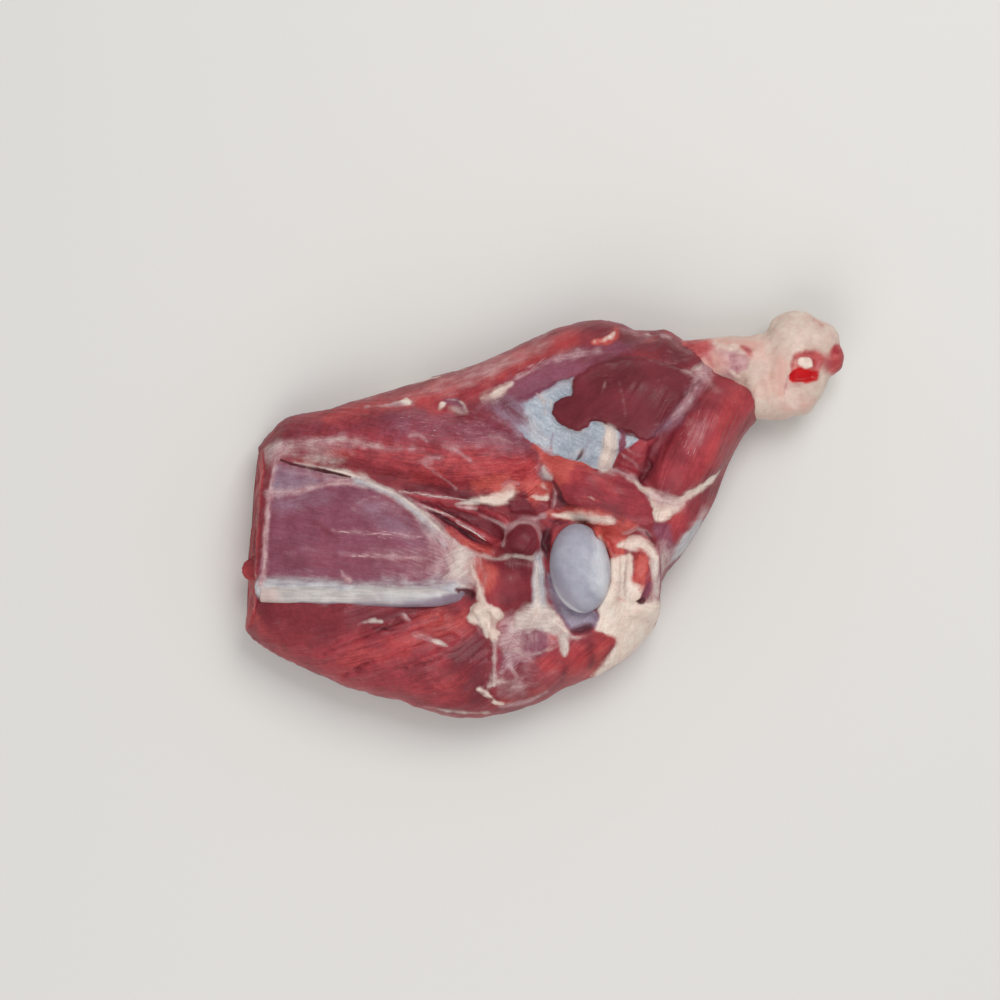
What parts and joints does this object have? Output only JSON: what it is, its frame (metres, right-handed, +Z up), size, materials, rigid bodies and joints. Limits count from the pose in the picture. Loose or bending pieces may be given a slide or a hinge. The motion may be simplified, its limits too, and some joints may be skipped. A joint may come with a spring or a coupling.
{
  "type": "raw lamb foreleg",
  "caption": "Raw lamb foreleg, shoulder and foreshank in one piece, lying inner side up with its cut shoulder end, opened joint and bare knuckle showing.",
  "frame": {"origin": "middle of the leg's box in plan, on the surface it lies on", "axes": "+X from the cut shoulder end to the knuckle, +Y towards the shank's front edge, +Z up"},
  "size_m": [0.3028, 0.2046, 0.066],
  "materials": {
    "raw_lean": "moist raw lean under thin silverskin, with cream fat and pale tendons",
    "bone": "moist cream bone with pink tissue",
    "cartilage": "wet blue-grey joint cartilage",
    "bone_skin": "wet pale skin of the bone"
  },
  "bodies": {
    "root": {"meat": "raw_lean", "shank_bone": "bone", "joint_ball": "cartilage", "blade_border": "bone_skin"}
  },
  "joints": []
}
